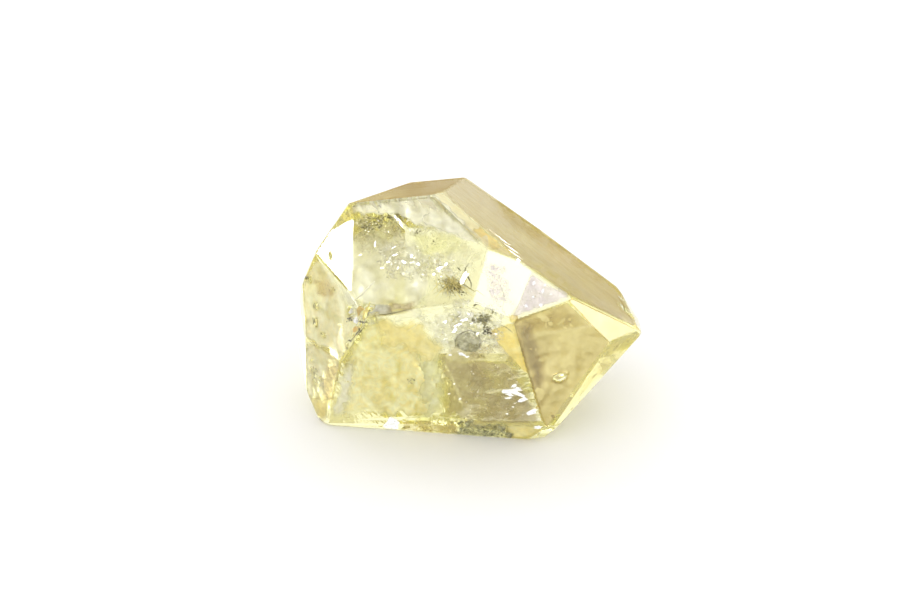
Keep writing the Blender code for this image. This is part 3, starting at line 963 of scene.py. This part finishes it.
# %% Flecks
dark = solid_material("dark mineral grain", "#5C563A", 0.7)
olive_grain = solid_material("olive mineral grain", "#A8A478", 0.7)
# also the finish of the painted highlight along the ridge
bright = solid_material("silvery air film", "#FFFFFF", 0.12, metallic=1.0)
FLECKS = {  # name: finish, outline, depth, the sheet's shape, the flecks' values
    "frost_specks": (dark, [(357, 215), (386, 214), (384, 228), (358, 234)], 1.2, dict(soft=4, step=3),
                     dict(Flecks_per_square_mm=16.0, Length=0.34, Width=0.12, Spin=1.5, Tilt=0.4, Seed=6)),
    "frost_glints": (bright, [(356, 216), (388, 214), (386, 232), (357, 236)], 1.1, dict(soft=4, step=3),
                     dict(Flecks_per_square_mm=9.0, Length=0.26, Width=0.08, Spin=1.5, Tilt=0.5, Seed=26)),
    "frost_blob": (dark, [(384, 213), (398, 213), (399, 229), (388, 224)], 1.2, dict(soft=4, step=3),
                   dict(Flecks_per_square_mm=12.0, Length=0.35, Width=0.10, Spin=0.6, Tilt=0.4, Seed=9)),
    "front_feathers": (bright, [(374, 244), (424, 240), (462, 262), (452, 286), (384, 280)], 2.2,
                       dict(soft=8, crumple=1.2, step=4),
                       dict(Flecks_per_square_mm=6.0, Length=0.40, Width=0.06, Spin=0.9, Tilt=0.35, Seed=4)),
    "middle_feathers_bright": (bright, [(425, 316), (470, 306), (508, 322), (500, 350), (440, 352)], 2.0,
                               dict(soft=8, crumple=1.2, step=4),
                               dict(Flecks_per_square_mm=8.0, Length=0.5, Width=0.09, Spin=1.5, Tilt=0.5,
                                    Seed=14)),
    "point_specks": (bright, [(520, 325), (546, 320), (548, 362), (530, 368)], 1.6, dict(soft=6, step=4),
                     dict(Flecks_per_square_mm=3.0, Length=0.3, Width=0.08, Spin=1.5, Tilt=0.5, Seed=2)),
    "smoky_specks": (bright, [(444, 350), (512, 352), (530, 416), (444, 416)], 2.0, dict(soft=6, step=4),
                     dict(Flecks_per_square_mm=0.8, Length=0.22, Width=0.12, Spin=1.5, Tilt=0.5, Seed=3)),
    "lilac_specks": (bright, [(522, 278), (560, 294), (516, 312)], 0.9, dict(soft=4, step=4),
                     dict(Flecks_per_square_mm=3.0, Length=0.16, Width=0.12, Spin=1.5, Tilt=0.4, Seed=5)),
}
for name, (finish, outline, depth, shape, values) in FLECKS.items():
    flecks(name, veil(outline, depth, **shape), finish, **values)

# %% [markdown]
# ## Iron oxide needles
# A bunch of fine brown and golden needles hangs in the middle of the upper front face. They are
# taken for iron oxide, and spread from one spot like the bristles of a brush. A cone of straight
# cylinders would look combed, so each root and each point is drawn at random round a middle.

# %% Iron oxide needles
# the brown of the needles, and of the painted shade along the tip
rust_and_edge_shade = solid_material("brown iron oxide", "#94884A", 0.7)
gold_needle = solid_material("golden iron oxide", "#F0E49C", 0.5)
ROOTS, ROOT_SPREAD, ROOT_DEEPER = (450, 278), (8, 2.5), 0.6  # pixels, pixels, mm
POINTS, POINT_SPREAD, POINT_DEEPER = (452, 293), (10, 4), 1.0
NEEDLE_DEPTH = 2.5  # mm
THINNEST, THICKEST = 0.05, 0.12  # mm
STEPS = 4  # along a needle


def drawn_near(draw, middle, spread, deeper):
    """A place at random round a point of the view."""
    column = middle[0] + draw.gauss(0, spread[0])
    row = middle[1] + draw.gauss(0, spread[1])
    return seen_at(column, row, NEEDLE_DEPTH + draw.uniform(-deeper, deeper))


for name, finish, count, seed in (("brown_spikes", rust_and_edge_shade, 24, 21), ("golden_spikes", gold_needle, 34, 22)):
    shape = bmesh.new()
    draw = random.Random(seed)
    for number in range(count):
        root = drawn_near(draw, ROOTS, ROOT_SPREAD, ROOT_DEEPER)
        point = drawn_near(draw, POINTS, POINT_SPREAD, POINT_DEEPER)
        straight = [root.lerp(point, step / STEPS) for step in range(STEPS + 1)]
        thread(shape, straight, draw.uniform(THINNEST, THICKEST))
    finished(name, shape, finish)

# %% [markdown]
# ## Mineral grains
# Small heaps of dark grains lie in the cracks, behind the pits of the left end and beside the round
# inclusion. One lens would look like a leaf, and a ball like a berry. A dozen ragged little lenses
# thrown together at random look like a crumb of rock, and cost few faces.

# %% Mineral grains
GRAINS = {  # what it is: column, row, depth, spread in pixels, grains, size in mm
    "spot in the top band": (380, 205, 0.6, 1.2, 9, 0.16),
    "specks in the top band": (368, 207, 0.6, 5.0, 8, 0.09),
    "dark blob of the patch": (389, 217, 1.0, 1.4, 12, 0.24),
    "ring of grains": (417, 232, 2.0, 1.9, 16, 0.20),
    "second group": (434, 241, 2.0, 3.2, 16, 0.18),
    "smear in the yellow veil": (411, 381, 2.0, 2.2, 14, 0.20),
    "by the crack": (463, 294, 2.0, 1.6, 8, 0.22),
    "under the spikes": (458, 290, 2.0, 2.0, 6, 0.20),
    "black rim": (486, 331, 1.5, 3.0, 24, 0.30),
    "left blob": (350, 319, 0.5, 1.5, 16, 0.28),
    "left blob, far right": (369, 311, 0.5, 1.4, 10, 0.24),
    "left blob, right": (363, 322, 0.5, 1.5, 14, 0.28),
    "nick below": (351, 341, 0.5, 1.4, 8, 0.22),
    "nick lower": (347, 349, 0.5, 1.0, 6, 0.18),
    "nick right": (360, 330, 0.5, 1.6, 8, 0.18),
    "top pit": (308, 279, 0.4, 1.0, 8, 0.18),
    "pits": (312, 374, 0.4, 5.0, 30, 0.17),
    "more pits": (318, 384, 0.4, 5.0, 24, 0.15),
    "pits above": (312, 345, 0.4, 6.0, 14, 0.14),
}
OLIVE_GRAINS = {  # the same values
    "olive group": (483, 320, 1.6, 4.2, 46, 0.52),
    "over the spikes": (452, 284, 3.4, 5.0, 24, 0.30),
}


FLATTER = 0.7  # a heap is lower than it is wide
DEPTH_SPREAD = 0.3  # mm, how far a grain lies before or behind its heap


def grains(name, groups, finish, seed):
    """Builds small ragged grains, scattered round each place of a table, as one piece."""
    shape = bmesh.new()
    draw = random.Random(seed)
    for column, row, depth, spread, count, size in groups.values():
        for number in range(count):
            there = (column + draw.gauss(0, spread), row + draw.gauss(0, spread * FLATTER))
            if not on_stone(*there):
                continue
            middle = seen_at(*there, depth + draw.uniform(-DEPTH_SPREAD, DEPTH_SPREAD))
            facing = Vector((draw.gauss(0, 1), draw.gauss(0, 1), draw.gauss(0, 1))).normalized()
            length = size * draw.uniform(0.5, 1.6)
            width = size * draw.uniform(0.4, 0.9)
            turn = draw.uniform(0, 3)
            lens(shape, middle, facing, length, width, size * 0.5, turn, seed=number)
    finished(name, shape, finish)


grains("dark_grains", GRAINS, dark, 8)
grains("olive_grains", OLIVE_GRAINS, olive_grain, 9)

# %% [markdown]
# ## Fine lines
# A crack that is seen edge on is only a line: dark where it holds dirt, and pale where it healed. The brown
# lines along the tip are painted shade: the dark band that the tip's rounded polished edges show, drawn in
# the brown of iron oxide. A row of straight pieces would show its corners, so each is a smooth line through a
# few points, and a thin tube that tapers to both ends is run along it.

# %% Fine lines
CRACKS = {  # what it is: width in mm, depth, and the pixels it runs through
    "curved crack": (0.16, 2.0, [(469, 263), (465, 270), (468, 277), (471, 283), (471, 289)]),
    "brown dash": (0.14, 2.0, [(457, 267), (459, 269), (461, 271)]),
    "hair crack left": (0.08, 1.6, [(452, 322), (457, 317), (462, 313)]),
    "hair crack right": (0.08, 1.6, [(470, 308), (475, 308), (480, 310)]),
    "brown line": (0.10, 1.2, [(501, 325), (507, 328), (513, 333)]),
    "rim of the round one": (0.11, 1.7, [(456, 349), (455, 343), (458, 336), (464, 332), (471, 331),
                                         (478, 335), (480, 342), (478, 349), (472, 354)]),
    "nick line": (0.14, 0.5, [(365, 325), (361, 331), (357, 335), (351, 341)]),
    "smudge line": (0.07, 1.6, [(500, 285), (503, 292), (504, 299), (502, 312)]),
    "band line": (0.08, 0.7, [(372, 315), (390, 313), (412, 309)]),
    "arc of the top pit": (0.12, 0.4, [(305, 280), (308, 277), (312, 278)]),
    "slit one": (0.12, 0.4, [(317, 303), (315, 306), (314, 309)]),
    "slit two": (0.12, 0.4, [(314, 318), (315, 322), (313, 325)]),
    "slit on the shoulder": (0.12, 0.4, [(328, 254), (330, 256), (332, 259)]),
}
BRIGHT_LINES = {  # the same values
    "pale streak": (0.24, 0.6, [(353, 302), (360, 296), (367, 289), (375, 281)]),
    "thin line": (0.07, 1.2, [(390, 250), (395, 247), (400, 245)]),
    "line in the smoke": (0.06, 1.6, [(405, 333), (415, 326), (425, 318)]),
}
# painted shade: the dark band along the tip's rounded edges
TIP_EDGE_SHADE = {  # the same values
    "outer": (0.16, 0.3, [(610, 290), (618, 297), (624, 306), (630, 317), (635, 327)]),
    "inner": (0.12, 0.3, [(613, 299), (619, 307), (626, 318)]),
}
pale_line = solid_material("pale healed line", "#FFFFF0", 0.4, metallic=1.0)


def draw_lines(name, routes, finish):
    """Builds the lines of a table as one piece. Each has its width, its depth and its route."""
    shape = bmesh.new()
    for width, depth, route in routes.values():
        thread(shape, smooth_line([seen_at(column, row, depth) for column, row in route]), width)
    finished(name, shape, finish, smooth=True)


draw_lines("fine_cracks", CRACKS, dark)
draw_lines("bright_lines", BRIGHT_LINES, pale_line)
draw_lines("tip_lines", TIP_EDGE_SHADE, rust_and_edge_shade)

# %% [markdown]
# ## Bright flakes
# A flat hollow flashes when it mirrors a lamp straight to the eye. Turned at random, most would
# stay dark, and glowing ones would shine from every side, as no real flake does. So each flake is
# turned to the one angle at which a soft box, seen through the facet that its light comes in by,
# is mirrored back along the line of sight.

# %% Which way a flake faces
SOFT_BOXES = (toward(-38, 52), toward(-157, 36))  # roughly where the two boxes are
BROAD = 25 * MM ** 2
LETS_LIGHT_IN = 0.2  # cosines: how far a facet has to be turned to the box,
SAME_FACET = 0.999  # how well a facet that is hit has to match,
SHOWS = 0.3  # and how far the flake has to be turned to the eye
broad_facets = {tuple(round(value, 3) for value in facet.normal): facet.normal.copy()
                for facet in stone_mesh.polygons if facet.area > BROAD}


def glint_facing(point, way):
    """Which way a flake at a point inside faces to throw a soft box back along the line of sight:
    the first broad facet that the light can come in through decides."""
    for light in SOFT_BOXES:
        for facet in broad_facets.values():
            if facet.dot(light) < LETS_LIGHT_IN:
                continue
            coming = bend(-light, facet, 1 / CITRINE_IOR)
            hit, normal, _, _ = stone_tree.ray_cast(point, -coming)
            facing = (-coming - way).normalized()
            if hit and normal.dot(facet) > SAME_FACET and facing.dot(-way) > SHOWS:
                return facing
    return -way


# %% Bright flakes
FLAKES = {  # where it is: column, row, depth, length, width, turn
    "by the crack": [(464, 278, 1.8, 1.5, 0.6, 1.0)],
    "lower right": [(510, 391, 1.5, 1.8, 0.8, 0.3), (518, 394, 1.5, 2.0, 0.6, -0.4),
                    (524, 399, 1.5, 1.1, 0.6, 0.2), (514, 386, 1.5, 0.7, 0.35, 0.8),
                    (508, 398, 1.5, 0.8, 0.3, 0.1), (516, 389, 1.5, 0.9, 0.4, 0.6),
                    (519, 389, 1.3, 0.8, 0.5, -0.9), (510, 395, 1.3, 1.0, 0.4, -0.2),
                    (521, 401, 1.3, 0.7, 0.4, 0.4)],
    "foot corner": [(532, 412, 1.0, 1.5, 0.6, 0.5), (537, 407, 1.0, 0.8, 0.45, 0.6),
                    (529, 414, 1.0, 0.7, 0.4, 0.2)],
    "foot": [(392, 425, 0.9, 2.0, 1.9, 0.0), (538, 427, 0.8, 1.0, 0.5, 0.3)],
    "specks": [(513, 407, 1.5, 0.3, 0.25, 0.0), (507, 414, 1.5, 0.28, 0.25, 0.0),
               (454, 384, 1.5, 0.28, 0.2, 0.1), (449, 394, 1.5, 0.35, 0.2, 0.3),
               (460, 399, 1.5, 0.3, 0.25, 0.3), (445, 322, 1.5, 0.5, 0.4, 0.2),
               (445, 339, 1.5, 0.5, 0.35, 0.2), (467, 357, 1.5, 0.45, 0.3, 0.2),
               (450, 355, 1.5, 0.4, 0.3, 0.2)],
    "crescent": [(455, 331, 1.3, 0.9, 0.5, 1.2), (458, 325, 1.3, 0.9, 0.4, 0.6),
                 (464, 320, 1.3, 0.9, 0.4, 0.3), (471, 323, 1.3, 0.8, 0.35, -0.5),
                 (478, 334, 1.3, 0.9, 0.4, 1.4), (462, 354, 1.3, 1.0, 0.4, -0.4)],
    "lilac dots": [(526, 306, 0.5, 0.45, 0.35, 0.2), (541, 305, 0.5, 0.5, 0.3, 0.4),
                   (534, 283, 0.5, 0.45, 0.3, 1.0), (543, 291, 0.5, 0.5, 0.25, 1.2),
                   (545, 285, 0.5, 0.35, 0.25, 0.2), (533, 297, 0.5, 0.25, 0.2, 0.2),
                   (551, 294, 0.5, 0.25, 0.2, 0.8)],
    # painted highlight: flakes that stand in for the bright line of the rounded ridge
    "light along the ridge": [(493, 232, 0.35, 1.9, 0.12, -0.75), (501, 238, 0.35, 2.0, 0.16, -0.8),
                              (507, 243, 0.35, 2.0, 0.20, -0.9), (512, 249, 0.35, 2.0, 0.24, -1.0),
                              (516, 255, 0.35, 1.8, 0.30, -1.1), (519, 260, 0.3, 1.0, 0.5, 0.6)],
    "left blob": [(352, 312, 0.7, 0.8, 0.6, 0.2), (356, 319, 0.7, 0.7, 0.6, 0.8)],
    "front": [(375, 244, 1.8, 0.7, 0.14, 1.5), (395, 255, 1.8, 0.7, 0.14, 0.3),
              (404, 262, 1.8, 0.6, 0.2, -0.5), (388, 262, 1.8, 0.5, 0.16, 0.5),
              (440, 268, 1.8, 0.8, 0.3, 0.4), (446, 264, 1.8, 0.4, 0.2, 0.9),
              (401, 224, 1.6, 1.3, 0.16, -1.1), (396, 218, 1.6, 0.7, 0.14, -1.1),
              (360, 255, 1.2, 0.35, 0.08, 0.3), (394, 247, 1.8, 0.6, 0.08, 0.6),
              (382, 268, 1.8, 0.3, 0.14, 0.2), (412, 256, 1.8, 0.4, 0.2, 0.8),
              (418, 264, 1.8, 0.35, 0.2, 0.1), (398, 268, 1.8, 0.3, 0.12, 1.2),
              (434, 274, 1.8, 0.3, 0.2, 0.6)],
    "point, shell marks": [(556, 371, 1.4, 0.6, 0.10, 0.9), (560, 378, 1.4, 0.9, 0.12, 0.5),
                           (556, 384, 1.4, 1.0, 0.12, 0.0), (563, 387, 1.4, 0.5, 0.10, -0.4),
                           (566, 373, 1.4, 0.4, 0.08, 1.0), (552, 376, 1.4, 0.4, 0.08, 1.2)],
}
FLAKE_THICKNESS = 0.012  # mm
shape = bmesh.new()
number = 0
for column, row, depth, length, width, turn in [flake for group in FLAKES.values() for flake in group]:
    hit, way = sight_inside(column, row)
    middle = hit + way * depth * MM
    number += 1
    lens(shape, middle, glint_facing(middle, way), length, width, FLAKE_THICKNESS, turn, ragged=0.4,
         seed=number, rim=11)
finished("bright_flakes", shape, bright)

# %% [markdown]
# ## Coloured splinters
# Where the front faces meet the left end, a small patch is yellow, orange and brown, with two white
# bits between, as if a crack there was stained by iron. Each is a single thick lens that faces the
# eye, in a metallic finish, because matt ones come out dull inside the stone.

# %% Coloured splinters
SPLINTER_THICKNESS = 0.1  # mm
yellow_film = solid_material("yellow iron film", "#FFF0A0", 0.4, metallic=1.0)
orange_film = solid_material("orange iron film", "#F4D07C", 0.4, metallic=1.0)
white_crystal = solid_material("milky crystal splinter", "#FFFFFF", 0.4, metallic=1.0)
brown_film = solid_material("brown iron film", "#C8AE60", 0.4, metallic=1.0)
SPLINTERS = {  # name: finish, column, row, depth, length, width, turn
    "yellow_splinter": (yellow_film, 365, 312, 0.4, 2.2, 0.55, 1.25),
    "orange_splinter": (orange_film, 355, 329, 0.35, 1.2, 0.55, 0.7),
    "brown_splinter": (brown_film, 359, 311, 0.4, 1.2, 0.7, 1.2),
    "white_splinter": (white_crystal, 352, 311, 0.4, 1.1, 0.8, 0.3),
    "white_cell": (white_crystal, 356, 321, 0.4, 0.9, 0.7, 0.4),
}
for name, (finish, column, row, depth, length, width, turn) in SPLINTERS.items():
    shape = bmesh.new()
    hit, way = sight_inside(column, row)
    lens(shape, hit + way * depth * MM, -way, length, width, SPLINTER_THICKNESS, turn, ragged=0.3,
         seed=len(name), rim=11)
    finished(name, shape, finish)

# %% [markdown]
# ## The round inclusion
# A round grey grain, about 3 mm across, is locked into the middle of the stone. A perfect ball
# would look like a bead. An icosphere has even faces all over, so a noise can push its points
# in and out without a seam or a pole, and it is pressed flat along the line of sight, because only
# its face is seen. Its skin is the haze of the veils: grey, with clear holes.

# %% The round inclusion
ROUND_AT = (468, 342, 2.4)  # column, row, depth in mm
ROUND_SIZE = (3.2, 3.0, 1.4)  # mm
BUMPS, BUMP_HEIGHT = 4.0, 0.10  # how many across, and how high, as a share of the size
shape = bmesh.new()
bmesh.ops.create_icosphere(shape, subdivisions=4, radius=0.5)
middle = seen_at(*ROUND_AT)
for vertex in shape.verts:
    bump = 1 + BUMP_HEIGHT * noise.fractal(vertex.co * BUMPS, 1.0, 2.0, 3)
    flat = Vector(side * length for side, length in zip(vertex.co * bump, ROUND_SIZE))
    vertex.co = middle + (camera_right * flat.x + camera_up * flat.y + camera_back * flat.z) * MM
mineral_skin = haze("grey mineral skin", "#FFFEE6", "#8E8C6A", 0.7, (0.2, 0.8), through="#E6E4CC",
                    detail=5.0)
mesh = bpy.data.meshes.new("round_inclusion")
shape.to_mesh(mesh)
shape.free()
mesh.shade_smooth()
whole = mesh.attributes.new("fade", "FLOAT", "POINT")
whole.data.foreach_set("value", [1.0] * len(mesh.vertices))
keep(add_object("round_inclusion", mesh, mineral_skin))
print("round inclusion:", len(mesh.polygons), "faces")
